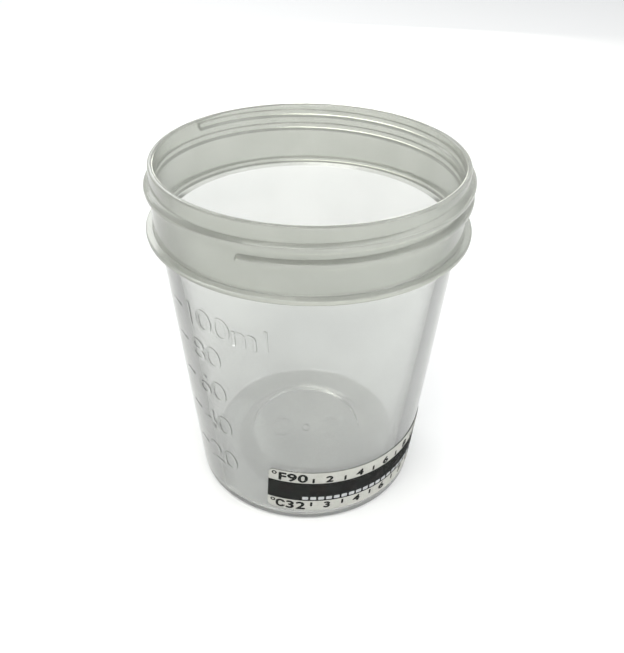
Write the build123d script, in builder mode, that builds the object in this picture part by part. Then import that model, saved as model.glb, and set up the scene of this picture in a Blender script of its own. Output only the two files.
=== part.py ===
from build123d import *
import os
from math import atan, cos, degrees, pi, radians, sin, tan

# A translucent screw-neck sample cup with moulded graduations and a stick-on
# temperature strip.  Millimetres and degrees.  The origin is the centre of the foot,
# +Z runs up the axis.  A bearing is an angle round the axis: 0 is the -Y side, and it
# grows towards +X.

# --- Cup moulding ---------------------------------------------------------------
cup_height = 74.0  # resting plane to rim
neck_diameter = 61.4  # plain outside of the neck, between the thread's turns
neck_height = 13.85  # flange's underside to rim
neck_wall = 1.1
shoulder_step = 0.8  # the body's top stands this far in from the neck
foot_diameter = 48.9  # where the tapered wall would meet the resting plane
body_wall = 1.0
floor_thickness = 1.0
foot_ring_width = 7.65  # flat ring that the cup rests on, heel included
crown_run = 3.7  # sloping edge of the pushed-up floor
crown_height = 2.4
heel_radius = 1.0
floor_fillet = 1.3
crown_fillet = 0.8
ledge_rise = 0.7  # sloping step from the body's bore out to the neck's bore
flange_overhang = 1.5
flange_thickness = 1.0
edge_radius = 0.3
rim_radius = 0.4

# --- Thread for the cap ----------------------------------------------------------
thread_pitch = 3.0
thread_turns = 1.7
thread_depth = 1.1
thread_root_width = 1.9
thread_crest_width = 0.95
thread_rim_gap = 0.9  # rim to the top of the last turn
thread_start_bearing = -21.5
root_bite = 0.4  # how far raised features are carried into the wall behind them

# --- Raised graduations ----------------------------------------------------------
graduation_step = 20  # millilitres
graduation_margin = 2.0  # least wall between the top number and the flange
digit_height = 5.2
digit_width = 3.8
digit_advance = 4.35
digit_stroke = 0.9
digit_relief = 0.25
unit_height = 3.7  # height of the letter m
unit_width = 5.3
first_digit_bearing = -48.6
long_number_shift = 1.9  # a three-digit number starts this much further round
unit_gap = 1.6  # centre of the letter m's last stem to the letter l
level_line_bearing = -60.2
level_line_length = 3.4

# --- Marks under the floor -------------------------------------------------------
gate_diameter = 2.0
gate_height = 0.5
cavity_ring_diameter = 5.6
cavity_ring_stroke = 0.5
cavity_mark_offset = 6.1
maker_pad_length = 6.4
maker_pad_width = 3.6
mark_relief = 0.2

# --- Temperature strip -----------------------------------------------------------
strip_length = 45.0
strip_height = 12.2
strip_foot_gap = 2.8  # resting plane to the strip's lower edge
strip_bearing = 33.0
strip_corner = 1.3
window_band_height = 5.7  # black band between the two white scales
adhesive_thickness = 0.06
backing_thickness = 0.06
ink_thickness = 0.06
film_thickness = 0.12
window_length = 3.8
window_height = 3.1
window_shift = -2.1  # each crystal lies this far left of its number
window_gap = 0.5  # top of the black band to the crystals
label_pitch = 6.8
first_label = -16.4  # along the strip from its middle
label_height = 2.0
label_width = 1.6
label_advance = 1.95
label_stroke = 0.42
label_gap = 0.55  # black band to the foot of the Fahrenheit numbers
celsius_gap = 0.75  # black band to the head of the Celsius numbers
unit_sign_offset = -3.0
degree_offset = -4.4
degree_diameter = 0.95
degree_stroke = 0.25
tick_length = 1.3
tick_width = 0.4
guide_dash_length = 1.1
guide_dash_pitch = 1.7
guide_dash_height = 1.0
guide_start = -14.4
guide_gap = 0.35
strip_end_margin = 2.4

fahrenheit_degrees = [90, 92, 94, 96, 98, 100]

# --- Worked-out sizes ------------------------------------------------------------
neck_radius = neck_diameter / 2
bore_radius = neck_radius - neck_wall
shoulder_radius = neck_radius - shoulder_step
foot_radius = foot_diameter / 2
flange_radius = neck_radius + flange_overhang
flange_bottom = cup_height - neck_height
flange_top = flange_bottom + flange_thickness
taper = (shoulder_radius - foot_radius) / flange_bottom
taper_angle = atan(taper)
recess_radius = foot_radius - foot_ring_width
crown_radius = recess_radius - crown_run
crown_top = crown_height + floor_thickness
crown_slope = atan(crown_height / crown_run)
floor_shift = floor_thickness * tan(crown_slope / 2)
thread_rise = thread_pitch * thread_turns
thread_end = cup_height - thread_rim_gap - thread_root_width / 2
thread_start = thread_end - thread_rise
strip_centre_height = strip_foot_gap + strip_height / 2
strip_thickness = adhesive_thickness + backing_thickness + ink_thickness + film_thickness
ink_base = adhesive_thickness + backing_thickness
ink_top = ink_base + ink_thickness
shell_low = strip_foot_gap / 2  # foot of the shells that the strip's layers are cut from
shell_high = strip_centre_height + 1.5 * strip_height
band_reach = 2 * (foot_radius + taper * strip_centre_height)


def wall_radius(z):
    """Outside radius of the tapered body at height z."""
    return foot_radius + taper * z


def bore_of_body(z):
    """Inside radius of the tapered body at height z."""
    return wall_radius(z) - body_wall


def level_of(millilitres):
    """Height of the liquid when the cup holds this much."""
    crown_volume = pi * crown_height / 3 * (
        (recess_radius + floor_shift) ** 2
        + (recess_radius + floor_shift) * (crown_radius + floor_shift)
        + (crown_radius + floor_shift) ** 2
    )
    volume = millilitres * 1000 + crown_volume
    floor_radius = bore_of_body(floor_thickness)
    surface_radius = (floor_radius**3 + 3 * taper * volume / pi) ** (1 / 3)
    return floor_thickness + (surface_radius - floor_radius) / taper


def wall_plane(bearing, z, lift=0.0):
    """Plane on the body's outside: X runs round the cup, Y up the wall, Z outwards."""
    turn = radians(bearing)
    across = cos(taper_angle)
    outward = Vector(across * sin(turn), -across * cos(turn), -sin(taper_angle))
    point = Vector(wall_radius(z) * sin(turn), -wall_radius(z) * cos(turn), z)
    return Plane(origin=point + outward * lift, x_dir=(cos(turn), sin(turn), 0), z_dir=outward)


def strip_plane(along, up, lift=0.0):
    """Plane at a point of the strip, which is flat stock wrapped on the tapered wall.

    The wall unrolls to a sector about the cone's apex, so a straight strip gains bearing
    and height as it leaves its middle.
    """
    cone_sine = sin(taper_angle)
    apex_distance = wall_radius(strip_centre_height) / cone_sine
    unrolled = atan(along / (apex_distance + up))
    reach = (apex_distance + up) / cos(unrolled)
    z = strip_centre_height + (reach - apex_distance) * cos(taper_angle)
    on_wall = wall_plane(strip_bearing + degrees(unrolled / cone_sine), z, lift)
    return on_wall.rotated((0, 0, degrees(unrolled)))


# --- Stroke characters -----------------------------------------------------------
def strokes_of(character, x, y, r):
    """Centre-lines of a character 2x wide and 2y high, with bowls of radius r."""
    if character == "1":
        return [Line((0, -y), (0, y)), Line((0, y), (-r, 0.55 * y))]
    if character == "2":
        bowl = CenterArc((0, y - r), r, 160, -190)
        return [bowl, Line(bowl @ 1, (-r, -y)), Line((-r, -y), (r, -y))]
    if character == "3":
        return [CenterArc((0, r), r, 150, -240), CenterArc((0, -r), r, 90, -240)]
    if character == "4":
        stem = 0.4 * x
        bar = -0.35 * y
        return [Line((stem, -y), (stem, y)), Line((stem, y), (-x, bar)), Line((-x, bar), (x, bar))]
    if character == "6":
        return [ThreePointArc((-r, -r), (-0.5 * r, 0.5 * y), (0.7 * r, 0.95 * y))]
    if character == "7":
        return [Line((-x, y), (x, y)), Line((x, y), (-0.3 * x, -y))]
    if character == "9":
        return [ThreePointArc((r, r), (0.5 * r, -0.5 * y), (-0.7 * r, -0.95 * y))]
    if character == "F":
        return [Line((-x, -y), (-x, y)), Line((-x, y), (x, y)), Line((-x, 0), (0.7 * x, 0))]
    if character == "C":
        top = CenterArc((0, y - x), x, 20, 160)
        bottom = CenterArc((0, x - y), x, 180, 160)
        return [top, Line(top @ 1, bottom @ 0), bottom]
    if character == "m":
        arch = x / 2
        arches = [CenterArc((side * arch, y - arch), arch, 0, 180) for side in (-1, 1)]
        stems = [Line((side * x, y - arch), (side * x, -y)) for side in (-1, 0, 1)]
        return arches + stems + [Line((-x, y), (-x, y - arch))]
    return []


def bowls_of(character, r):
    """Middle of each closed bowl of a character, as a height."""
    return {"6": [-r], "9": [r], "8": [r, -r]}.get(character, [])


def character_sketch(character, height, width, stroke):
    """One character, centred on the origin."""
    x = (width - stroke) / 2
    y = (height - stroke) / 2
    r = y / 2
    with BuildSketch() as glyph:
        if character == "0":
            Ellipse(width / 2, height / 2)
            Ellipse(width / 2 - stroke, height / 2 - stroke, mode=Mode.SUBTRACT)
        for middle in bowls_of(character, r):
            with Locations((0, middle)):
                Circle(r + stroke / 2)
        for middle in bowls_of(character, r):
            with Locations((0, middle)):
                Circle(r - stroke / 2, mode=Mode.SUBTRACT)
        for line in strokes_of(character, x, y, r):
            SlotArc(line, stroke)
    return glyph.sketch


def layer_section(inner, outer):
    """Section of a shell round the body's wall, between two distances out from its surface."""
    reach = 1 / cos(taper_angle)
    with BuildSketch(Plane.XZ) as section:
        Polygon(
            (wall_radius(shell_low) + inner * reach, shell_low),
            (wall_radius(shell_low) + outer * reach, shell_low),
            (wall_radius(shell_high) + outer * reach, shell_high),
            (wall_radius(shell_high) + inner * reach, shell_high),
            align=None,
        )
    return section.sketch


def band_section(low, high):
    """Rectangle on the cup's axis that faces the strip, between two distances up the strip."""
    with BuildSketch(strip_plane(0, 0, -wall_radius(strip_centre_height))) as section:
        with Locations((0, (low + high) / 2)):
            Rectangle(2 * strip_length, high - low)
    return section.sketch


def ink_plane(along, up):
    """Plane just under the ink, for a shape that is extruded through it."""
    return strip_plane(along, up, adhesive_thickness)


# --- Thread ----------------------------------------------------------------------
with BuildPart() as neck_thread:
    with BuildLine() as thread_path:
        Helix(thread_pitch, thread_rise, neck_radius, center=(0, 0, thread_start))
    with BuildSketch(Plane.XZ) as tooth:
        half_root = thread_root_width / 2
        half_crest = thread_crest_width / 2
        half_bite = half_root + (half_root - half_crest) * root_bite / thread_depth
        with Locations((neck_radius, thread_start)):
            Polygon(
                (-root_bite, -half_bite),
                (thread_depth, -half_crest),
                (thread_depth, half_crest),
                (-root_bite, half_bite),
                align=None,
            )
    sweep(path=thread_path.line, is_frenet=True)
    with Locations((neck_radius - root_bite, 0, thread_start)):
        Cone(
            half_bite,
            half_crest,
            root_bite + thread_depth,
            rotation=(0, 90, 0),
            align=(Align.CENTER, Align.CENTER, Align.MIN),
        )

# --- Cup -------------------------------------------------------------------------
ledge_low = flange_bottom - ledge_rise / 2
ledge_high = flange_bottom + ledge_rise / 2
floor_corner = (bore_of_body(floor_thickness), floor_thickness)

with BuildPart() as cup:
    with BuildSketch(Plane.XZ) as cup_section:
        Polygon(
            (0, crown_height),
            (crown_radius, crown_height),
            (recess_radius, 0),
            (foot_radius, 0),
            (shoulder_radius, flange_bottom),
            (flange_radius, flange_bottom),
            (flange_radius, flange_top),
            (neck_radius, flange_top),
            (neck_radius, cup_height),
            (bore_radius, cup_height),
            (bore_radius, ledge_high),
            (bore_of_body(ledge_low), ledge_low),
            floor_corner,
            (recess_radius + floor_shift, floor_thickness),
            (crown_radius + floor_shift, crown_top),
            (0, crown_top),
            align=None,
        )

        def round_corner(corner, radius):
            """Round the section's corner nearest to a point."""
            fillet(cup_section.vertices().sort_by_distance(Vector(*corner))[0], radius)

        round_corner((foot_radius, 0), heel_radius)
        round_corner(floor_corner, floor_fillet)
        round_corner((crown_radius, crown_height), crown_fillet)
        round_corner((crown_radius + floor_shift, crown_top), crown_fillet)
        round_corner((flange_radius, flange_bottom), edge_radius)
        round_corner((flange_radius, flange_top), edge_radius)
        round_corner((neck_radius, flange_top), edge_radius)
        round_corner((neck_radius, cup_height), rim_radius)
        round_corner((bore_radius, cup_height), rim_radius)
    revolve(axis=Axis.Z)
    add(neck_thread.part, rotation=(0, 0, thread_start_bearing - 90))

    level = graduation_step
    while level_of(level) + digit_height / 2 + graduation_margin < flange_bottom:
        mark_height = level_of(level)
        digits = str(level)
        advance = degrees(digit_advance / wall_radius(mark_height))
        first = first_digit_bearing - long_number_shift * (len(digits) - 2)
        for place, digit in enumerate(digits):
            with BuildSketch(wall_plane(first + advance * place, mark_height, -root_bite)):
                add(character_sketch(digit, digit_height, digit_width, digit_stroke))
            extrude(amount=root_bite + digit_relief)
        with BuildSketch(wall_plane(level_line_bearing, mark_height, -root_bite)):
            SlotOverall(level_line_length, digit_stroke)
        extrude(amount=root_bite + digit_relief)
        top_level = level
        level += graduation_step

    unit_base = level_of(top_level) - digit_height / 2
    unit_centre = unit_base + unit_height / 2
    unit_step = degrees(1 / wall_radius(unit_centre))
    last_digit = first + advance * (len(str(top_level)) - 1)
    m_bearing = last_digit + unit_step * (digit_width + unit_width + digit_stroke) / 2
    l_bearing = m_bearing + unit_step * (unit_width / 2 + unit_gap)
    with BuildSketch(wall_plane(m_bearing, unit_centre, -root_bite)):
        add(character_sketch("m", unit_height, unit_width, digit_stroke))
    extrude(amount=root_bite + digit_relief)
    with BuildSketch(wall_plane(l_bearing, unit_base + digit_height / 2, -root_bite)):
        SlotOverall(digit_height, digit_stroke, rotation=90)
    extrude(amount=root_bite + digit_relief)

    with BuildSketch(Plane.XY.offset(crown_height - gate_height)):
        Circle(gate_diameter / 2)
    extrude(amount=gate_height + root_bite)
    with BuildSketch(Plane.XY.offset(crown_height - mark_relief)):
        with Locations((-cavity_mark_offset, 0)):
            Circle(cavity_ring_diameter / 2)
            Circle(cavity_ring_diameter / 2 - cavity_ring_stroke, mode=Mode.SUBTRACT)
        with Locations((cavity_mark_offset, 0)):
            SlotOverall(maker_pad_length, maker_pad_width, rotation=90)
            SlotOverall(
                maker_pad_length - 2 * cavity_ring_stroke,
                maker_pad_width - 2 * cavity_ring_stroke,
                rotation=90,
                mode=Mode.SUBTRACT,
            )
    extrude(amount=mark_relief + root_bite)

cup.part.label = "cup"

# --- Temperature strip -----------------------------------------------------------
half_length = strip_length / 2
half_height = strip_height / 2
half_band = window_band_height / 2
ink_section = layer_section(ink_base, ink_top)

with BuildPart() as strip_outline:
    revolve(layer_section(0, strip_thickness), axis=Axis.Z)
    extrude(band_section(-half_height, half_height), amount=band_reach, mode=Mode.INTERSECT)
    right_end = strip_plane(half_length, 0)
    left_end = strip_plane(-half_length, 0)
    right_cut = Plane(right_end.origin, x_dir=right_end.z_dir, z_dir=right_end.x_dir)
    left_cut = Plane(left_end.origin, x_dir=left_end.z_dir, z_dir=-left_end.x_dir)
    split(bisect_by=right_cut, keep=Keep.BOTTOM)
    split(bisect_by=left_cut, keep=Keep.BOTTOM)
    corners = strip_outline.edges().filter_by(lambda edge: edge.length < 1.5 * strip_thickness)
    fillet(corners, strip_corner)

with BuildPart() as strip_adhesive:
    add(strip_outline.part)
    revolve(layer_section(0, adhesive_thickness), axis=Axis.Z, mode=Mode.INTERSECT)

strip_adhesive.part.label = "strip_adhesive"


def number_row(labels, up, sign):
    """Numbers, tick marks and unit sign of one scale, cut to the ink layer."""
    with BuildPart() as row:
        for place, label in enumerate(labels):
            middle = first_label + label_pitch * place
            for position, digit in enumerate(label):
                along = middle + label_advance * (position - (len(label) - 1) / 2)
                with BuildSketch(ink_plane(along, up)):
                    add(character_sketch(digit, label_height, label_width, label_stroke))
                extrude(amount=strip_thickness)
            if place > 0:
                with BuildSketch(ink_plane(middle - label_pitch / 2, up)):
                    Rectangle(tick_width, tick_length)
                extrude(amount=strip_thickness)
        with BuildSketch(ink_plane(first_label + unit_sign_offset, up)):
            add(character_sketch(sign, label_height, label_width, label_stroke))
        extrude(amount=strip_thickness)
        degree_up = up + (label_height - degree_diameter) / 2
        with BuildSketch(ink_plane(first_label + degree_offset, degree_up)):
            Circle(degree_diameter / 2)
            Circle(degree_diameter / 2 - degree_stroke, mode=Mode.SUBTRACT)
        extrude(amount=strip_thickness)
        revolve(ink_section, axis=Axis.Z, mode=Mode.INTERSECT)
    return row


fahrenheit_row = half_band + label_gap + label_height / 2
celsius_row = -half_band - celsius_gap - label_height / 2
celsius_degrees = [round((degree - 32) / 1.8) for degree in fahrenheit_degrees]


def short_labels(degrees_list):
    """The first number whole, then last digits, with a hundred whole again."""
    texts = [str(degree) for degree in degrees_list]
    later = [text if len(text) > 2 else text[-1] for text in texts[1:]]
    return texts[:1] + later


fahrenheit_numbers = number_row(short_labels(fahrenheit_degrees), fahrenheit_row, "F")
fahrenheit_numbers.part.label = "fahrenheit_numbers"

celsius_numbers = number_row(short_labels(celsius_degrees), celsius_row, "C")
celsius_numbers.part.label = "celsius_numbers"

with BuildPart() as strip_fahrenheit_scale:
    add(strip_outline.part)
    revolve(ink_section, axis=Axis.Z, mode=Mode.INTERSECT)
    extrude(band_section(half_band, strip_height), amount=band_reach, mode=Mode.INTERSECT)
    add(fahrenheit_numbers.part, mode=Mode.SUBTRACT)

strip_fahrenheit_scale.part.label = "strip_fahrenheit_scale"

with BuildPart() as strip_celsius_scale:
    add(strip_outline.part)
    revolve(ink_section, axis=Axis.Z, mode=Mode.INTERSECT)
    extrude(band_section(-strip_height, -half_band), amount=band_reach, mode=Mode.INTERSECT)
    add(celsius_numbers.part, mode=Mode.SUBTRACT)

strip_celsius_scale.part.label = "strip_celsius_scale"

crystals = []
for place, degree in enumerate(fahrenheit_degrees):
    with BuildPart() as crystal:
        window_row = half_band - window_gap - window_height / 2
        with BuildSketch(ink_plane(first_label + window_shift + label_pitch * place, window_row)):
            Ellipse(window_length / 2, window_height / 2)
        extrude(amount=strip_thickness)
        revolve(ink_section, axis=Axis.Z, mode=Mode.INTERSECT)
    crystal.part.label = f"crystal_{degree}f"
    crystals.append(crystal.part)

with BuildPart() as reading_guide:
    guide_row = -half_band + guide_gap + guide_dash_height / 2
    dash = guide_start
    while dash < half_length - strip_end_margin:
        with BuildSketch(ink_plane(dash, guide_row)):
            Rectangle(guide_dash_length, guide_dash_height)
        extrude(amount=strip_thickness)
        dash += guide_dash_pitch
    revolve(ink_section, axis=Axis.Z, mode=Mode.INTERSECT)

reading_guide.part.label = "reading_guide"

with BuildPart() as strip_backing:
    add(strip_outline.part)
    revolve(layer_section(adhesive_thickness, ink_top), axis=Axis.Z, mode=Mode.INTERSECT)
    for scale in [strip_fahrenheit_scale, strip_celsius_scale]:
        add(scale.part, mode=Mode.SUBTRACT)
    for print_layer in [fahrenheit_numbers, celsius_numbers, reading_guide]:
        add(print_layer.part, mode=Mode.SUBTRACT)
    add(crystals, mode=Mode.SUBTRACT)

strip_backing.part.label = "strip_backing"

with BuildPart() as strip_face_film:
    add(strip_outline.part)
    revolve(layer_section(ink_top, strip_thickness), axis=Axis.Z, mode=Mode.INTERSECT)

strip_face_film.part.label = "strip_face_film"

# --- Export ----------------------------------------------------------------------
os.makedirs("parts", exist_ok=True)
export_step(cup.part, "parts/cup.step")
export_step(strip_adhesive.part, "parts/strip_adhesive.step")
export_step(strip_backing.part, "parts/strip_backing.step")
export_step(strip_fahrenheit_scale.part, "parts/strip_fahrenheit_scale.step")
export_step(strip_celsius_scale.part, "parts/strip_celsius_scale.step")
export_step(fahrenheit_numbers.part, "parts/fahrenheit_numbers.step")
export_step(celsius_numbers.part, "parts/celsius_numbers.step")
export_step(reading_guide.part, "parts/reading_guide.step")
export_step(strip_face_film.part, "parts/strip_face_film.step")
for crystal_part in crystals:
    export_step(crystal_part, f"parts/{crystal_part.label}.step")
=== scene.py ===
import math
from math import atan, cos, degrees, pi, radians, sin, tan

import bmesh
import bpy
from mathutils import Matrix, Vector


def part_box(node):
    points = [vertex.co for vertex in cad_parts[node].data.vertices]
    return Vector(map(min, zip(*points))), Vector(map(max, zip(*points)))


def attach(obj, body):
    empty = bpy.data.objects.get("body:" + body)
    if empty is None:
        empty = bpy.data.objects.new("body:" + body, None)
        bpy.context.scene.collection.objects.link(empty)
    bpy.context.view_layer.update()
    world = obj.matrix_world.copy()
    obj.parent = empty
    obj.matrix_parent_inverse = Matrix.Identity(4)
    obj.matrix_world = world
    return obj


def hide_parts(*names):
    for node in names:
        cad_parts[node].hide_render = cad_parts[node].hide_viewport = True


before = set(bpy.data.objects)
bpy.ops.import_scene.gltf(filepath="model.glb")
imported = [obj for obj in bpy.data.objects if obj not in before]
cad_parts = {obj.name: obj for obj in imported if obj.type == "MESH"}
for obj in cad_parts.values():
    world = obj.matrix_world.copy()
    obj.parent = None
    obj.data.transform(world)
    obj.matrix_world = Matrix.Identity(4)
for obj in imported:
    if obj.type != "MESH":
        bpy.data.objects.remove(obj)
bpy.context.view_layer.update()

# A translucent screw-neck sample cup with a stick-on temperature strip.
# Pieces are modelled in millimetres and brought down to metres by MM when they are
# finished.  A bearing is an angle round the cup: 0 is the -Y side, and it grows towards +X.
MM = 0.001

# --- Cup sizes -------------------------------------------------------------------
CUP_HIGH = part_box("cup")[1]
CUP_HEIGHT = CUP_HIGH.z / MM
FLANGE_RADIUS = CUP_HIGH.x / MM
NECK_RADIUS = 30.7
NECK_WALL = 1.1
FLANGE_BOTTOM = 60.15
FLANGE_TOP = 61.15
SHOULDER_RADIUS = 29.9
FOOT_RADIUS = 24.45
WALL = 1.0
RECESS_RADIUS = 16.8
CROWN_RADIUS = 13.1
CROWN_HEIGHT = 2.4
LEDGE_LOW = 59.8
LEDGE_HIGH = 60.5
TAPER = (SHOULDER_RADIUS - FOOT_RADIUS) / FLANGE_BOTTOM
TAPER_ANGLE = atan(TAPER)
FLOOR_SHIFT = WALL * tan(atan(CROWN_HEIGHT / (RECESS_RADIUS - CROWN_RADIUS)) / 2)
ROUND_STEPS = 192
WALL_RINGS = range(3, 58, 3)  # extra rings up the wall keep the cuts round the numbers short

# --- Thread sizes ----------------------------------------------------------------
THREAD_PITCH = 3.0
THREAD_TURNS = 1.7
THREAD_DEPTH = 1.1
THREAD_ROOT = 1.9
THREAD_CREST = 0.95
THREAD_TOP_GAP = 0.9
THREAD_START_BEARING = -21.5
THREAD_START_REACH = 1.6
THREAD_END_REACH = 0.5
BITE = 0.4  # how far raised shapes are carried into the wall behind them

# --- Graduations -----------------------------------------------------------------
GRADUATIONS = {"20": 12.9, "40": 23.1, "60": 32.5, "80": 41.4, "100": 49.7}
DIGIT_HEIGHT = 5.2
DIGIT_WIDTH = 4.1
DIGIT_ADVANCE = 4.35
RELIEF = 0.12
FIRST_DIGIT_BEARING = -48.6
LONG_NUMBER_SHIFT = 1.9  # a three-digit number starts this much further round
LEVEL_LINE_BEARING = -60.2
LEVEL_LINE_LENGTH = 3.4
LEVEL_LINE_WIDTH = 0.8
LEVEL_LINE_RELIEF = 0.08
UNIT_DROP = 1.85  # height on the wall at which the unit's spacing is measured
M_WIDTH = 3.4
M_OFFSET = 5.0
L_WIDTH = 0.9
L_OFFSET = 4.3

# --- Marks under the floor -------------------------------------------------------
GATE_DIAMETER = 2.0
GATE_DROP = 0.5
MARK_OFFSET = 6.1
MARK_STROKE = 0.5
MARK_DROP = 0.2
MARK_TURN = 1.5  # keeps the marks' corners off the floor's own edges

# --- Strip sizes -----------------------------------------------------------------
STRIP_LENGTH = 45.0
STRIP_HEIGHT = 12.2
STRIP_MIDDLE = 8.9
STRIP_BEARING = 33.0
STRIP_CORNER = 1.3
HALF_BAND = 2.85
LABEL_PITCH = 6.8
FIRST_LABEL = -16.4
BEND_STEP = 0.9  # a flat piece is cut into lengths this long before it is rolled on
INK = 0.012
BOLD = 0.14
TICK_LENGTH = 1.45
TICK_WIDTH = 0.5
DASH_LENGTH = 1.25
DASH_WIDTH = 0.95
DASH_PITCH = 1.7
FIRST_DASH = -14.4

# Heights above the wall, from the wall outwards.
ADHESIVE = (0.01, 0.06)
BACKING = (0.065, 0.12)
COLOUR_COAT = (0.12, 0.17)
CRYSTAL_BOTTOM = 0.164
PRINT_BOTTOM = 0.165
FACE_FILM = (0.19, 0.30)


def wall_radius(z):
    """Outside radius of the tapered wall at a height."""
    return FOOT_RADIUS + TAPER * z


# --- Bench helpers ---------------------------------------------------------------
def clear_selection():
    """Nothing selected, nothing in edit mode."""
    if bpy.context.object and bpy.context.object.mode != "OBJECT":
        bpy.ops.object.mode_set(mode="OBJECT")
    bpy.ops.object.select_all(action="DESELECT")


def pick(*objects):
    """Select these objects, the first one active."""
    clear_selection()
    for obj in objects:
        obj.select_set(True)
    bpy.context.view_layer.objects.active = objects[0]


def edit(obj):
    """Open an object in edit mode and give its edit mesh."""
    pick(obj)
    bpy.ops.object.mode_set(mode="EDIT")
    return bmesh.from_edit_mesh(obj.data)


def close():
    bpy.ops.object.mode_set(mode="OBJECT")


def select_where(obj, kind, test):
    """Select the vertices, edges or faces that pass a test, in edit mode."""
    if obj.mode != "EDIT":
        edit(obj)
    bpy.ops.mesh.select_all(action="DESELECT")
    bpy.ops.mesh.select_mode(type={"verts": "VERT", "edges": "EDGE", "faces": "FACE"}[kind])
    shape = bmesh.from_edit_mesh(obj.data)
    for item in getattr(shape, kind):
        item.select_set(bool(test(item)))
    shape.select_flush_mode()
    bmesh.update_edit_mesh(obj.data)


def apply_modifier(obj, modifier):
    pick(obj)
    bpy.ops.object.modifier_apply(modifier=modifier.name)


def settle(obj):
    """Move an object's place into its mesh."""
    pick(obj)
    bpy.ops.object.transform_apply(location=True, rotation=True, scale=True)


def tidy_mesh(obj):
    """Merge doubles and point all faces outwards."""
    edit(obj)
    bpy.ops.mesh.select_all(action="SELECT")
    bpy.ops.mesh.remove_doubles(threshold=0.001)
    bpy.ops.mesh.normals_make_consistent(inside=False)
    close()


def smooth(obj, angle=32):
    pick(obj)
    bpy.ops.object.shade_smooth_by_angle(angle=radians(angle))


def boolean(obj, tool, operation):
    """Exact Boolean of one object with another, which is then thrown away."""
    modifier = obj.modifiers.new("join", "BOOLEAN")
    modifier.object = tool
    modifier.operation = operation
    modifier.solver = "EXACT"
    apply_modifier(obj, modifier)
    bpy.data.objects.remove(tool)


# --- Cup -------------------------------------------------------------------------
def section_line(name, points):
    """A chain of edges through points of the XZ plane, extruded vertex by vertex."""
    clear_selection()
    bpy.ops.mesh.primitive_plane_add(size=1)
    obj = bpy.context.object
    obj.name = name
    edit(obj)
    bpy.ops.mesh.select_all(action="SELECT")
    bpy.ops.mesh.merge(type="CENTER")
    bpy.ops.mesh.select_mode(type="VERT")
    here = Vector((0, 0, 0))
    for place, (x, z) in enumerate(points):
        there = Vector((x, 0, z))
        if place == 0:
            bpy.ops.transform.translate(value=there - here)
        else:
            bpy.ops.mesh.extrude_region_move(TRANSFORM_OT_translate={"value": there - here})
        here = there
    close()
    return obj


def round_corner(obj, x, z, radius, segments):
    """Round the chain's corner at a point to a radius."""
    spot = Vector((x, 0, z))
    shape = edit(obj)
    corner = min(shape.verts, key=lambda vert: (vert.co - spot).length)
    arms = [(edge.other_vert(corner).co - corner.co).normalized() for edge in corner.link_edges]
    setback = radius / tan(arms[0].angle(arms[1]) / 2)
    select_where(obj, "verts", lambda vert: (vert.co - spot).length < 0.001)
    bpy.ops.mesh.bevel(offset=setback, segments=segments, profile=0.5, affect="VERTICES")
    close()


def cup_shell():
    """The cup's section, rounded and spun once round the axis."""
    bore = NECK_RADIUS - NECK_WALL
    floor_radius = wall_radius(WALL) - WALL
    crown_inside = CROWN_RADIUS + FLOOR_SHIFT
    crown_top = CROWN_HEIGHT + WALL
    shell = section_line(
        "cup_shell",
        [
            (0, CROWN_HEIGHT),
            (CROWN_RADIUS, CROWN_HEIGHT),
            (RECESS_RADIUS, 0),
            (FOOT_RADIUS, 0),
            *[(wall_radius(z), z) for z in WALL_RINGS],
            (SHOULDER_RADIUS, FLANGE_BOTTOM),
            (FLANGE_RADIUS, FLANGE_BOTTOM),
            (FLANGE_RADIUS, FLANGE_TOP),
            (NECK_RADIUS, FLANGE_TOP),
            (NECK_RADIUS, CUP_HEIGHT),
            (bore, CUP_HEIGHT),
            (bore, LEDGE_HIGH),
            (wall_radius(LEDGE_LOW) - WALL, LEDGE_LOW),
            (floor_radius, WALL),
            (RECESS_RADIUS + FLOOR_SHIFT, WALL),
            (crown_inside, crown_top),
            (0, crown_top),
        ],
    )
    round_corner(shell, FOOT_RADIUS, 0, 1.0, 8)
    round_corner(shell, floor_radius, WALL, 1.3, 8)
    round_corner(shell, RECESS_RADIUS, 0, 0.25, 4)
    round_corner(shell, RECESS_RADIUS + FLOOR_SHIFT, WALL, 0.4, 4)
    round_corner(shell, CROWN_RADIUS, CROWN_HEIGHT, 0.8, 5)
    round_corner(shell, crown_inside, crown_top, 0.8, 5)
    round_corner(shell, SHOULDER_RADIUS, FLANGE_BOTTOM, 0.2, 4)
    round_corner(shell, FLANGE_RADIUS, FLANGE_BOTTOM, 0.3, 5)
    round_corner(shell, FLANGE_RADIUS, FLANGE_TOP, 0.3, 5)
    round_corner(shell, NECK_RADIUS, FLANGE_TOP, 0.3, 5)
    round_corner(shell, NECK_RADIUS, CUP_HEIGHT, 0.4, 6)
    round_corner(shell, bore, CUP_HEIGHT, 0.4, 6)
    round_corner(shell, bore, LEDGE_HIGH, 0.25, 4)
    round_corner(shell, wall_radius(LEDGE_LOW) - WALL, LEDGE_LOW, 0.25, 4)
    edit(shell)
    bpy.ops.mesh.select_all(action="SELECT")
    bpy.ops.mesh.spin(steps=ROUND_STEPS, angle=2 * pi, center=(0, 0, 0), axis=(0, 0, 1))
    close()
    tidy_mesh(shell)
    return shell


def round_thread_end(ridge, root, way, reach):
    """Draw out one end face of the thread and shrink it onto the wall in four steps."""
    along = Vector((0, 0, 1)).cross(root).normalized() * way

    def is_end(face):
        near = (face.calc_center_median() - root).length < 1.5
        return near and face.normal.dot(along) > 0.9

    select_where(ridge, "faces", is_end)
    for step in range(4):
        there = sin(radians(22.5 * (step + 1))) - sin(radians(22.5 * step))
        size = max(cos(radians(22.5 * (step + 1))), 0.12) / cos(radians(22.5 * step))
        bpy.ops.mesh.extrude_region_move(TRANSFORM_OT_translate={"value": along * reach * there})
        bpy.ops.transform.resize(value=(size, size, size), center_override=root)
    close()


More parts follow.
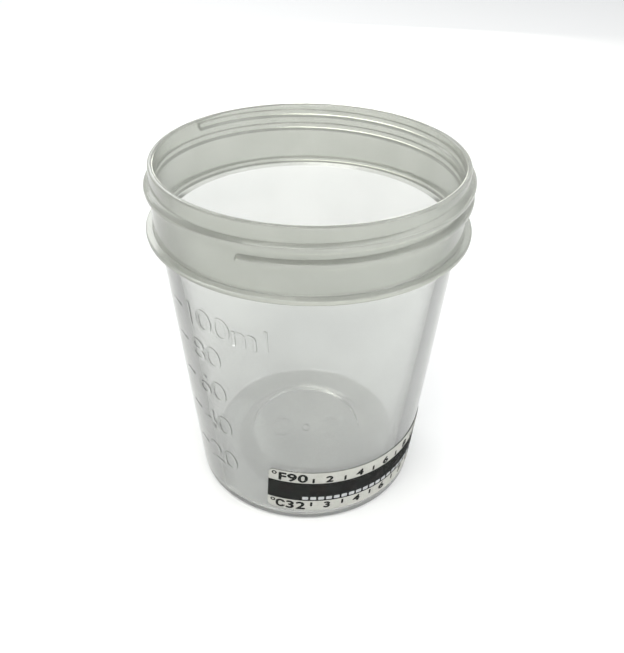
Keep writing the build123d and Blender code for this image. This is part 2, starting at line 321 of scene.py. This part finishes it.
def neck_thread():
    """One ridge wound up the neck, with a rounded start and a blunt end."""
    half_root = THREAD_ROOT / 2
    half_crest = THREAD_CREST / 2
    half_bite = half_root + (half_root - half_crest) * BITE / THREAD_DEPTH
    rise = THREAD_PITCH * THREAD_TURNS
    low = CUP_HEIGHT - THREAD_TOP_GAP - half_root - rise
    ridge = section_line(
        "neck_thread",
        [
            (NECK_RADIUS - BITE, low - half_bite),
            (NECK_RADIUS + THREAD_DEPTH, low - half_crest),
            (NECK_RADIUS + THREAD_DEPTH, low + half_crest),
            (NECK_RADIUS - BITE, low + half_bite),
        ],
    )
    edit(ridge)
    bpy.ops.mesh.select_all(action="SELECT")
    bpy.ops.mesh.edge_face_add()
    close()
    round_corner(ridge, NECK_RADIUS + THREAD_DEPTH, low - half_crest, 0.3, 3)
    round_corner(ridge, NECK_RADIUS + THREAD_DEPTH, low + half_crest, 0.3, 3)
    edit(ridge)
    bpy.ops.mesh.select_all(action="SELECT")
    bpy.ops.mesh.delete(type="ONLY_FACE")
    close()
    turn = ridge.modifiers.new("wind", "SCREW")
    turn.axis = "Z"
    turn.angle = 2 * pi * THREAD_TURNS
    turn.screw_offset = rise
    turn.steps = round(ROUND_STEPS * THREAD_TURNS)
    turn.render_steps = turn.steps
    turn.use_merge_vertices = False
    apply_modifier(ridge, turn)
    edit(ridge)
    bpy.ops.mesh.select_mode(type="EDGE")
    bpy.ops.mesh.select_all(action="DESELECT")
    bpy.ops.mesh.select_non_manifold(extend=False, use_wire=False, use_boundary=True)
    bpy.ops.mesh.edge_face_add()
    close()
    tidy_mesh(ridge)
    round_thread_end(ridge, Vector((NECK_RADIUS - BITE, 0, low)), -1, THREAD_START_REACH)
    top_turn = Matrix.Rotation(2 * pi * THREAD_TURNS, 3, "Z")
    top = top_turn @ Vector((NECK_RADIUS - BITE, 0, 0)) + Vector((0, 0, low + rise))
    round_thread_end(ridge, top, 1, THREAD_END_REACH)
    ridge.rotation_euler.z = radians(THREAD_START_BEARING - 90)
    settle(ridge)
    return ridge


# --- Letters and marks -----------------------------------------------------------
def wall_frame(bearing, z, lift=0.0):
    """Place on the body's outside: X runs round the cup, Y up the wall, Z outwards."""
    turn = radians(bearing)
    across = Vector((cos(turn), sin(turn), 0))
    lean = cos(TAPER_ANGLE)
    outward = Vector((lean * sin(turn), -lean * cos(turn), -sin(TAPER_ANGLE)))
    up = outward.cross(across)
    radius = wall_radius(z)
    point = Vector((radius * sin(turn), -radius * cos(turn), z)) + outward * lift
    frame_matrix = Matrix((across, up, outward)).transposed().to_4x4()
    frame_matrix.translation = point
    return frame_matrix


def letter_shape(text):
    """One solid character on the XY plane, one unit thick, at a type size of one."""
    clear_selection()
    bpy.ops.object.text_add()
    shape = bpy.context.object
    shape.data.body = text
    shape.data.align_x = "CENTER"
    shape.data.resolution_u = 6
    shape.data.size = 1
    shape.data.extrude = 0.5
    bpy.ops.object.convert(target="MESH")
    shape = bpy.context.object
    tidy_mesh(shape)
    return shape


def letter(text, width, height, depth):
    """A character whose nought would be this wide and high, centred on the origin."""
    sample = letter_shape("0")
    size = sample.dimensions.copy()
    low = min(vert.co.y for vert in sample.data.vertices)
    high = max(vert.co.y for vert in sample.data.vertices)
    bpy.data.objects.remove(sample)
    stretch = Vector((width / size.x, height / size.y, depth))
    shape = letter_shape(text)
    shape.scale = stretch
    shape.location = (0, -stretch.y * (low + high) / 2, depth / 2)
    settle(shape)
    return shape


def bold_letter(text, width, height, spread, depth):
    """A character struck five times, a little to each side, so that it prints bold."""
    strikes = []
    for move in ((0, 0, 0), (spread, 0, 0), (-spread, 0, 0), (0, spread, 0), (0, -spread, 0)):
        strike = letter(text, width - 2 * spread, height - 2 * spread, depth)
        strike.location = move
        settle(strike)
        strikes.append(strike)
    pick(*strikes)
    bpy.ops.object.join()
    return bpy.context.object


def place_at(obj, matrix):
    """Carry a finished shape to its place and settle it there."""
    obj.matrix_world = matrix
    settle(obj)
    return obj


def round_bar(length, width, depth, soft_edge):
    """A flat bar with round ends, lying along X on the XY plane."""
    clear_selection()
    bpy.ops.mesh.primitive_circle_add(vertices=32, radius=width / 2, fill_type="NGON")
    bar = bpy.context.object
    reach = (length - width) / 2
    edit(bar)
    for side in (-1, 1):
        select_where(bar, "verts", lambda vert, side=side: vert.co.x * side > 0.001 * width)
        bpy.ops.transform.translate(value=(side * reach, 0, 0))
    bpy.ops.mesh.select_all(action="SELECT")
    bpy.ops.mesh.extrude_region_move(TRANSFORM_OT_translate={"value": (0, 0, depth)})
    select_where(bar, "edges", lambda edge: min(v.co.z for v in edge.verts) > 0.9 * depth)
    bpy.ops.mesh.bevel(offset=soft_edge, segments=2, affect="EDGES")
    close()
    tidy_mesh(bar)
    return bar


def round_ring(length, width, stroke, depth):
    """A flat ring or oval of one stroke, lying along X on the XY plane."""
    soft_edge = min(0.05, depth / 4)
    ring = round_bar(length, width, depth, soft_edge)
    hole = round_bar(length - 2 * stroke, width - 2 * stroke, 3 * depth, soft_edge)
    hole.location.z = -depth
    settle(hole)
    boolean(ring, hole, "DIFFERENCE")
    return ring


def open_ring(width, height, stroke, depth):
    """An upright oval ring with its right side open."""
    ring = round_ring(height, width, stroke, depth)
    ring.rotation_euler.z = pi / 2
    settle(ring)
    gap = ink_block(width, height * 0.34, 3 * depth)
    gap.location = (width * 0.62, 0, -depth)
    settle(gap)
    boolean(ring, gap, "DIFFERENCE")
    return ring


def graduation_shapes():
    """Raised numbers, level lines and the unit beside the top number."""
    depth = BITE + RELIEF
    shapes = []
    for text, level in GRADUATIONS.items():
        advance = degrees(DIGIT_ADVANCE / wall_radius(level))
        first = FIRST_DIGIT_BEARING - LONG_NUMBER_SHIFT * (len(text) - 2)
        for place, digit in enumerate(text):
            shape = letter(digit, DIGIT_WIDTH, DIGIT_HEIGHT, depth)
            shapes.append(place_at(shape, wall_frame(first + advance * place, level, -BITE)))
        line = round_bar(LEVEL_LINE_LENGTH, LEVEL_LINE_WIDTH, BITE + LEVEL_LINE_RELIEF, 0.06)
        shapes.append(place_at(line, wall_frame(LEVEL_LINE_BEARING, level, -BITE)))
    # The unit follows the last number, which is the top one.
    unit_level = level - DIGIT_HEIGHT / 2 + UNIT_DROP
    step = degrees(1 / wall_radius(unit_level))
    m_bearing = first + advance * 2 + step * M_OFFSET
    m_shape = letter("m", M_WIDTH, DIGIT_HEIGHT, depth)
    shapes.append(place_at(m_shape, wall_frame(m_bearing, level, -BITE)))
    l_shape = round_bar(DIGIT_HEIGHT, L_WIDTH, depth, 0.12)
    l_shape.rotation_euler.z = pi / 2
    settle(l_shape)
    shapes.append(place_at(l_shape, wall_frame(m_bearing + step * L_OFFSET, level, -BITE)))
    return shapes


def floor_shapes():
    """Gate stub, cavity ring and maker's blank oval under the floor."""
    marks = []
    for shape, x, turn in [
        (round_bar(GATE_DIAMETER, GATE_DIAMETER, GATE_DROP + BITE, 0.15), 0, MARK_TURN),
        (round_ring(5.6, 5.6, MARK_STROKE, MARK_DROP + BITE), -MARK_OFFSET, MARK_TURN),
        (round_ring(6.4, 3.6, MARK_STROKE, MARK_DROP + BITE), MARK_OFFSET, 90 - MARK_TURN),
    ]:
        shape.rotation_euler = (pi, 0, radians(turn))
        shape.location = (x, 0, CROWN_HEIGHT + BITE)
        settle(shape)
        marks.append(shape)
    return marks


# --- Temperature strip -----------------------------------------------------------
def wrap_on_wall(obj):
    """Roll a flat shape (X along, Y up, Z out, from the strip's middle) onto the wall."""
    cone_sine = sin(TAPER_ANGLE)
    apex_distance = wall_radius(STRIP_MIDDLE) / cone_sine
    for vert in obj.data.vertices:
        along, up, lift = vert.co
        unrolled = atan(along / (apex_distance + up))
        reach = (apex_distance + up) / cos(unrolled)
        z = STRIP_MIDDLE + (reach - apex_distance) * cos(TAPER_ANGLE)
        bearing = STRIP_BEARING + degrees(unrolled / cone_sine)
        vert.co = wall_frame(bearing, z, lift).translation
    obj.data.update()


def cut_across(obj):
    """Cut a flat shape into short lengths so that it can bend."""
    low = min(vert.co.x for vert in obj.data.vertices)
    high = max(vert.co.x for vert in obj.data.vertices)
    edit(obj)
    bpy.ops.mesh.select_all(action="SELECT")
    bpy.ops.mesh.quads_convert_to_tris(quad_method="BEAUTY", ngon_method="BEAUTY")
    cut = math.ceil(low / BEND_STEP) * BEND_STEP
    while cut < high:
        if cut > low + 0.001:
            bpy.ops.mesh.select_all(action="SELECT")
            bpy.ops.mesh.bisect(plane_co=(cut, 0, 0), plane_no=(1, 0, 0))
        cut += BEND_STEP
    close()


def flat_plate(name, low, high, rounded, bottom, top, soft_edge=0.02):
    """A strip-long plate between two heights up the strip, with chosen corners rounded."""
    clear_selection()
    bpy.ops.mesh.primitive_plane_add(size=1)
    plate = bpy.context.object
    plate.name = name
    plate.scale = (STRIP_LENGTH, high - low, 1)
    plate.location = (0, (low + high) / 2, bottom)
    settle(plate)
    edit(plate)
    if rounded:
        select_where(plate, "verts", lambda vert: abs(vert.co.y) > STRIP_HEIGHT / 2 - 0.01)
        bpy.ops.mesh.bevel(offset=STRIP_CORNER, segments=6, profile=0.5, affect="VERTICES")
    bpy.ops.mesh.select_all(action="SELECT")
    bpy.ops.mesh.extrude_region_move(TRANSFORM_OT_translate={"value": (0, 0, top - bottom)})
    select_where(plate, "edges", lambda edge: min(v.co.z for v in edge.verts) > top - 0.001)
    bpy.ops.mesh.bevel(offset=soft_edge, segments=2, affect="EDGES")
    close()
    tidy_mesh(plate)
    cut_across(plate)
    wrap_on_wall(plate)
    smooth(plate)
    return plate


def printed_shape(obj, along, up, bottom):
    """Set a flat print on the strip, cut it so that it bends, and roll it on."""
    obj.location = (along, up, bottom)
    settle(obj)
    cut_across(obj)
    wrap_on_wall(obj)
    return obj


def join_as(name, shapes):
    pick(*shapes)
    bpy.ops.object.join()
    joined = bpy.context.object
    joined.name = name
    smooth(joined)
    return joined


def scale_numbers(name, labels, sign, row, tick_row):
    """Numbers, ticks and unit sign of one scale, as thin raised ink."""
    prints = []
    for place, label in enumerate(labels):
        middle = FIRST_LABEL + LABEL_PITCH * place
        width, height, advance = (2.15, 2.6, 2.25) if place == 0 else (1.75, 2.05, 1.9)
        lift = (height - 2.05) / 2 * (1 if row > 0 else -1)
        for position, digit in enumerate(label):
            along = middle + advance * (position - (len(label) - 1) / 2)
            shape = bold_letter(digit, width, height, BOLD, INK)
            prints.append(printed_shape(shape, along, row + lift, PRINT_BOTTOM))
        if place > 0:
            tick = round_bar(TICK_LENGTH, TICK_WIDTH, INK, INK / 4)
            tick.rotation_euler.z = pi / 2
            settle(tick)
            prints.append(printed_shape(tick, middle - LABEL_PITCH / 2, tick_row, PRINT_BOTTOM))
    lift = 0.27 if row > 0 else -0.27
    if sign == "F":
        shape = bold_letter(sign, 2.0, 2.6, BOLD, INK)
    else:
        shape = open_ring(2.1, 2.6, 0.58, INK)
    prints.append(printed_shape(shape, FIRST_LABEL - 3.2, row + lift, PRINT_BOTTOM))
    degree = round_ring(1.1, 1.1, 0.3, INK)
    prints.append(printed_shape(degree, FIRST_LABEL - 4.9, row + lift + 0.8, PRINT_BOTTOM))
    return join_as(name, prints)


def ink_block(length, width, depth):
    """A flat block of ink with slightly rounded corners."""
    clear_selection()
    bpy.ops.mesh.primitive_plane_add(size=1)
    block = bpy.context.object
    block.scale = (length, width, 1)
    settle(block)
    edit(block)
    bpy.ops.mesh.bevel(offset=0.18, segments=3, affect="VERTICES")
    bpy.ops.mesh.select_all(action="SELECT")
    bpy.ops.mesh.extrude_region_move(TRANSFORM_OT_translate={"value": (0, 0, depth)})
    close()
    tidy_mesh(block)
    return block


def reading_guide():
    """Row of plain dashes along the foot of the black band."""
    dashes = []
    along = FIRST_DASH
    while along < STRIP_LENGTH / 2 - 2.4:
        dash = ink_block(DASH_LENGTH, DASH_WIDTH, INK)
        dashes.append(printed_shape(dash, along, -HALF_BAND + 0.85, PRINT_BOTTOM))
        along += DASH_PITCH
    return join_as("reading_guide_print", dashes)


def crystal_window(degree, place):
    """One oval of liquid crystal on the black band, just before its number."""
    disc = 3.3
    oval = round_bar(disc, disc, INK, INK / 4)
    oval.scale = (3.8 / disc, 3.1 / disc, 1)
    settle(oval)
    along = FIRST_LABEL - 2.1 + LABEL_PITCH * place
    window = printed_shape(oval, along, HALF_BAND - 2.05, CRYSTAL_BOTTOM)
    window.name = f"crystal_window_{degree}"
    smooth(window)
    return window


# --- Materials -------------------------------------------------------------------
def new_group(name, inputs, outputs):
    """A node group with named number sockets, and its two ends."""
    group = bpy.data.node_groups.new(name, "ShaderNodeTree")
    for socket, value in inputs.items():
        made = group.interface.new_socket(socket, in_out="INPUT", socket_type="NodeSocketFloat")
        made.default_value = value
    for socket in outputs:
        group.interface.new_socket(socket, in_out="OUTPUT", socket_type="NodeSocketFloat")
    return group, group.nodes.new("NodeGroupInput"), group.nodes.new("NodeGroupOutput")


def noise_at(tree, scale_socket, detail, stretch=(1, 1, 1), turn=(0, 0, 0)):
    """Noise on object coordinates, stretched and turned."""
    place = tree.nodes.new("ShaderNodeTexCoord")
    mapping = tree.nodes.new("ShaderNodeMapping")
    mapping.inputs["Scale"].default_value = stretch
    mapping.inputs["Rotation"].default_value = turn
    noise = tree.nodes.new("ShaderNodeTexNoise")
    noise.inputs["Detail"].default_value = detail
    tree.links.new(place.outputs["Object"], mapping.inputs["Vector"])
    tree.links.new(mapping.outputs["Vector"], noise.inputs["Vector"])
    tree.links.new(scale_socket, noise.inputs["Scale"])
    return noise.outputs["Fac"]


def mix_range(tree, value, low, high, from_low=0.0, from_high=1.0):
    """Map a value between two numbers, smoothly and clamped."""
    node = tree.nodes.new("ShaderNodeMapRange")
    node.interpolation_type = "SMOOTHSTEP"
    node.inputs["From Min"].default_value = from_low
    node.inputs["From Max"].default_value = from_high
    node.inputs["To Min"].default_value = low
    node.inputs["To Max"].default_value = high
    tree.links.new(value, node.inputs["Value"])
    return node.outputs["Result"]


def arithmetic(tree, operation, first, second):
    """A math node on two sockets or numbers."""
    node = tree.nodes.new("ShaderNodeMath")
    node.operation = operation
    for socket, item in zip(node.inputs, (first, second)):
        if isinstance(item, (int, float)):
            socket.default_value = item
        else:
            tree.links.new(item, socket)
    return node.outputs["Value"]


def moulded_flow_group():
    """Slow waves and fine orange peel left by the mould, and cloudy patches."""
    group, start, end = new_group(
        "moulded_flow", {"Wave Scale": 60, "Peel Scale": 1400, "Peel": 0.25}, ["Height", "Cloud"]
    )
    wave = noise_at(group, start.outputs["Wave Scale"], 1.5, (1, 1, 0.35))
    peel = noise_at(group, start.outputs["Peel Scale"], 2.0)
    fine = arithmetic(group, "MULTIPLY", peel, start.outputs["Peel"])
    group.links.new(arithmetic(group, "ADD", wave, fine), end.inputs["Height"])
    cloud = noise_at(group, start.outputs["Wave Scale"], 4.0, (1.7, 1.7, 1.7))
    group.links.new(mix_range(group, cloud, 0, 1, 0.3, 0.7), end.inputs["Cloud"])
    return group


def scratches_group():
    """Thin hairlines in three directions, as a mask that is mostly nought."""
    group, start, end = new_group("hairlines", {"Scale": 260, "Amount": 0.5}, ["Mask"])
    total = None
    for stretch, turn in [
        ((14, 14, 0.5), (0.5, 0.2, 0)),
        ((11, 1.0, 9), (0.2, -0.7, 0.5)),
        ((0.7, 12, 12), (0.3, 0.4, 1.1)),
    ]:
        streak = noise_at(group, start.outputs["Scale"], 0.0, stretch, turn)
        line = mix_range(group, streak, 0, 1, 0.76, 0.80)
        total = line if total is None else arithmetic(group, "MAXIMUM", total, line)
    mask = arithmetic(group, "MULTIPLY", total, start.outputs["Amount"])
    group.links.new(mask, end.inputs["Mask"])
    return group


def place_group(tree, group, **values):
    node = tree.nodes.new("ShaderNodeGroup")
    node.node_tree = group
    for name, value in values.items():
        node.inputs[name.replace("_", " ")].default_value = value
    return node


def blend_colours(tree, factor, first, second):
    node = tree.nodes.new("ShaderNodeMix")
    node.data_type = "RGBA"
    node.inputs["A"].default_value = (*first, 1)
    node.inputs["B"].default_value = (*second, 1)
    tree.links.new(factor, node.inputs["Factor"])
    return node.outputs["Result"]


def bump(tree, height, depth):
    """A bump of a real depth in millimetres."""
    node = tree.nodes.new("ShaderNodeBump")
    node.inputs["Distance"].default_value = depth * MM
    tree.links.new(height, node.inputs["Height"])
    return node.outputs["Normal"]


def new_material(name, **constants):
    """A material whose shader sockets hold these constants."""
    material = bpy.data.materials.new(name)
    material.use_nodes = True
    shader = material.node_tree.nodes["Principled BSDF"]
    for socket, value in constants.items():
        shader.inputs[socket.replace("_", " ")].default_value = value
    return material, material.node_tree, shader


FLOW = moulded_flow_group()
HAIRLINES = scratches_group()


def polypropylene(name, passes, tint, cloudy, rough, flow_values):
    """Translucent moulded polypropylene: how much light passes sets how milky it looks."""
    material, tree, shader = new_material(name, IOR=1.49, Transmission_Weight=passes)
    flow = place_group(tree, FLOW, **flow_values)
    colour = blend_colours(tree, flow.outputs["Cloud"], tint, cloudy)
    tree.links.new(colour, shader.inputs["Base Color"])
    shader.inputs["Roughness"].default_value = rough
    tree.links.new(bump(tree, flow.outputs["Height"], 0.01), shader.inputs["Normal"])
    return material


def printed_ink(name, colour, worn, rough):
    """Ink under the strip's film, with a faint printed grain."""
    material, tree, shader = new_material(name, IOR=1.06)
    grain = place_group(tree, FLOW, Wave_Scale=420, Peel_Scale=5200, Peel=0.6)
    cloud = grain.outputs["Cloud"]
    tree.links.new(blend_colours(tree, cloud, colour, worn), shader.inputs["Base Color"])
    tree.links.new(mix_range(tree, cloud, rough, rough + 0.12), shader.inputs["Roughness"])
    tree.links.new(bump(tree, grain.outputs["Height"], 0.002), shader.inputs["Normal"])
    return material


def clear_sheet(name, tint, cover, rough, depth):
    """Clear plastic film or glue, which covers only a little of what is behind it."""
    material, tree, shader = new_material(name, IOR=1.46)
    flow = place_group(tree, FLOW, Wave_Scale=180, Peel_Scale=2600, Peel=0.2)
    lines = place_group(tree, HAIRLINES, Scale=250, Amount=0.5)
    colour = blend_colours(tree, flow.outputs["Cloud"], tint, (0.85, 0.85, 0.83))
    tree.links.new(colour, shader.inputs["Base Color"])
    scuffed = arithmetic(tree, "MULTIPLY", lines.outputs["Mask"], 0.25)
    tree.links.new(arithmetic(tree, "ADD", scuffed, rough), shader.inputs["Roughness"])
    seen = arithmetic(tree, "MULTIPLY", lines.outputs["Mask"], 0.03)
    tree.links.new(arithmetic(tree, "ADD", seen, cover), shader.inputs["Alpha"])
    tree.links.new(bump(tree, flow.outputs["Height"], depth), shader.inputs["Normal"])
    return material


# --- Studio ----------------------------------------------------------------------
def studio():
    """Pale floor, soft light and the camera."""
    clear_selection()
    bpy.ops.mesh.primitive_plane_add(size=4, location=(0, 0, -0.05 * MM))
    floor = bpy.context.object
    floor.name = "floor"
    settle(floor)
    paint = new_material("pale_floor", Base_Color=(0.93, 0.93, 0.93, 1), Roughness=0.9)[0]
    floor.data.materials.append(paint)

    world = bpy.data.worlds.new("soft_room")
    bpy.context.scene.world = world
    world.use_nodes = True
    nodes = world.node_tree.nodes
    links = world.node_tree.links
    background = nodes["Background"]
    place = nodes.new("ShaderNodeTexCoord")
    split = nodes.new("ShaderNodeSeparateXYZ")
    ramp = nodes.new("ShaderNodeValToRGB")
    ramp.color_ramp.elements[0].position = 0.02
    ramp.color_ramp.elements[0].color = (1.0, 1.0, 0.95, 1)
    ramp.color_ramp.elements[1].position = 0.45
    ramp.color_ramp.elements[1].color = (0.50, 0.51, 0.52, 1)
    links.new(place.outputs["Generated"], split.inputs[0])
    links.new(split.outputs["Z"], ramp.inputs[0])
    links.new(ramp.outputs["Color"], background.inputs["Color"])
    background.inputs["Strength"].default_value = 1.3

    softboxes = [
        ("overhead_softbox", (-0.10, -0.18, 0.55), 0.24, 1.2, (1.0, 0.99, 0.93)),
        ("side_softbox", (0.45, -0.20, 0.35), 0.25, 0.8, (0.96, 0.98, 1.0)),
        ("front_softbox", (0.05, -0.52, 0.20), 0.40, 1.0, (1.0, 1.0, 0.98)),
        ("low_back_softbox", (0.05, 0.42, 0.10), 0.14, 0.35, (1.0, 0.99, 0.90)),
        ("back_softbox", (-0.25, 0.45, 0.40), 0.30, 0.8, (1.0, 1.0, 1.0)),
    ]
    for name, spot, size, power, colour in softboxes:
        light = bpy.data.lights.new(name, "AREA")
        light.shape = "SQUARE"
        light.size = size
        light.energy = power
        light.color = colour
        lamp = bpy.data.objects.new(name, light)
        bpy.context.scene.collection.objects.link(lamp)
        lamp.location = spot
        aim = Vector((0, 0, 0.035)) - Vector(spot)
        lamp.rotation_euler = aim.to_track_quat("-Z", "Y").to_euler()

    camera_data = bpy.data.cameras.new("camera")
    camera_data.lens = 42.09
    camera_data.sensor_width = 36
    camera = bpy.data.objects.new("camera", camera_data)
    bpy.context.scene.collection.objects.link(camera)
    eye = Vector((0, -138.85, 128.84)) * MM
    aim = Vector((0.98, 0, 34.28)) * MM
    look = (aim - eye).to_track_quat("-Z", "Y").to_matrix().to_4x4()
    camera.matrix_world = Matrix.Translation(eye) @ look @ Matrix.Rotation(radians(1.106), 4, "Z")
    bpy.context.scene.camera = camera
    bpy.context.scene.view_settings.view_transform = "Standard"


def finished(piece, node, slot, *materials):
    """Bring a piece down to its real size, give it its materials and hide the model.glb part it
    stands for.
    """
    piece.scale = (MM, MM, MM)
    settle(piece)
    piece.data.materials.clear()
    for material in materials:
        piece.data.materials.append(material)
    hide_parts(node)
    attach(piece, "root")


def make_cup():
    """The one-piece moulding: shell, thread, raised numbers and floor marks."""
    cup = cup_shell()
    cup.name = "cup_moulding"
    boolean(cup, neck_thread(), "UNION")
    for shape in graduation_shapes() + floor_shapes():
        boolean(cup, shape, "UNION")
    smooth(cup)
    # Both tints are darker than the plastic's own faint yellow-green, as painted shade that makes
    # the whole cup read grey. The neck's much darker tint is painted shade on top of its real
    # milky, rougher finish.
    body = polypropylene(
        "clear_polypropylene", 0.86, (0.83, 0.84, 0.825), (0.79, 0.80, 0.785), 0.04,
        {"Wave_Scale": 45, "Peel_Scale": 1100, "Peel": 0.0},
    )
    neck = polypropylene(
        "milky_shaded_polypropylene", 0.74, (0.58, 0.595, 0.55), (0.54, 0.555, 0.51), 0.18,
        {"Wave_Scale": 70, "Peel_Scale": 1800, "Peel": 0.02},
    )
    finished(cup, "cup", "translucent_polypropylene", body, neck)
    for face in cup.data.polygons:
        face.material_index = 1 if face.center.z > (FLANGE_BOTTOM - 0.01) * MM else 0


def make_strip():
    """The temperature strip, laid up in its layers from the wall outwards."""
    half = STRIP_HEIGHT / 2
    glue = clear_sheet("strip_glue", (0.9, 0.88, 0.8), 0.2, 0.3, 0.01)
    black = printed_ink("black_print", (0.010, 0.011, 0.010), (0.014, 0.015, 0.014), 0.5)
    white = printed_ink("white_print", (0.43, 0.43, 0.40), (0.39, 0.39, 0.36), 0.45)
    pale = printed_ink("guide_print", (0.46, 0.47, 0.47), (0.36, 0.37, 0.38), 0.45)
    crystal = printed_ink("dark_liquid_crystal", (0.008, 0.008, 0.009), (0.013, 0.012, 0.010), 0.4)
    film = clear_sheet("clear_film", (0.9, 0.9, 0.9), 0.004, 0.1, 0.001)

    finished(
        flat_plate("adhesive_layer", -half, half, True, *ADHESIVE),
        "strip_adhesive", "clear_adhesive", glue,
    )
    backing = flat_plate("backing_layer", -half, half, True, *BACKING)
    band = flat_plate("black_band", -HALF_BAND, HALF_BAND, False, *COLOUR_COAT, 0.004)
    finished(join_as("backing_layer", [backing, band]), "strip_backing", "black_ink", black)
    finished(
        flat_plate("fahrenheit_band", HALF_BAND, half, True, *COLOUR_COAT),
        "strip_fahrenheit_scale", "white_ink", white,
    )
    finished(
        flat_plate("celsius_band", -half, -HALF_BAND, True, *COLOUR_COAT),
        "strip_celsius_scale", "white_ink", white,
    )
    fahrenheit = scale_numbers(
        "fahrenheit_print", ["90", "2", "4", "6", "8", "100"], "F",
        HALF_BAND + 1.25, HALF_BAND + 0.9,
    )
    finished(fahrenheit, "fahrenheit_numbers", "black_ink", black)
    celsius = scale_numbers(
        "celsius_print", ["32", "3", "4", "6", "7", "8"], "C",
        -HALF_BAND - 1.4, -HALF_BAND - 1.1,
    )
    finished(celsius, "celsius_numbers", "black_ink", black)
    for place, degree in enumerate((90, 92, 94, 96, 98, 100)):
        window = crystal_window(degree, place)
        finished(window, f"crystal_{degree}f", "liquid_crystal", crystal)
    finished(reading_guide(), "reading_guide", "guide_ink", pale)
    finished(
        flat_plate("face_film", -half, half, True, *FACE_FILM, 0.03),
        "strip_face_film", "clear_film", film,
    )


make_cup()
make_strip()
studio()
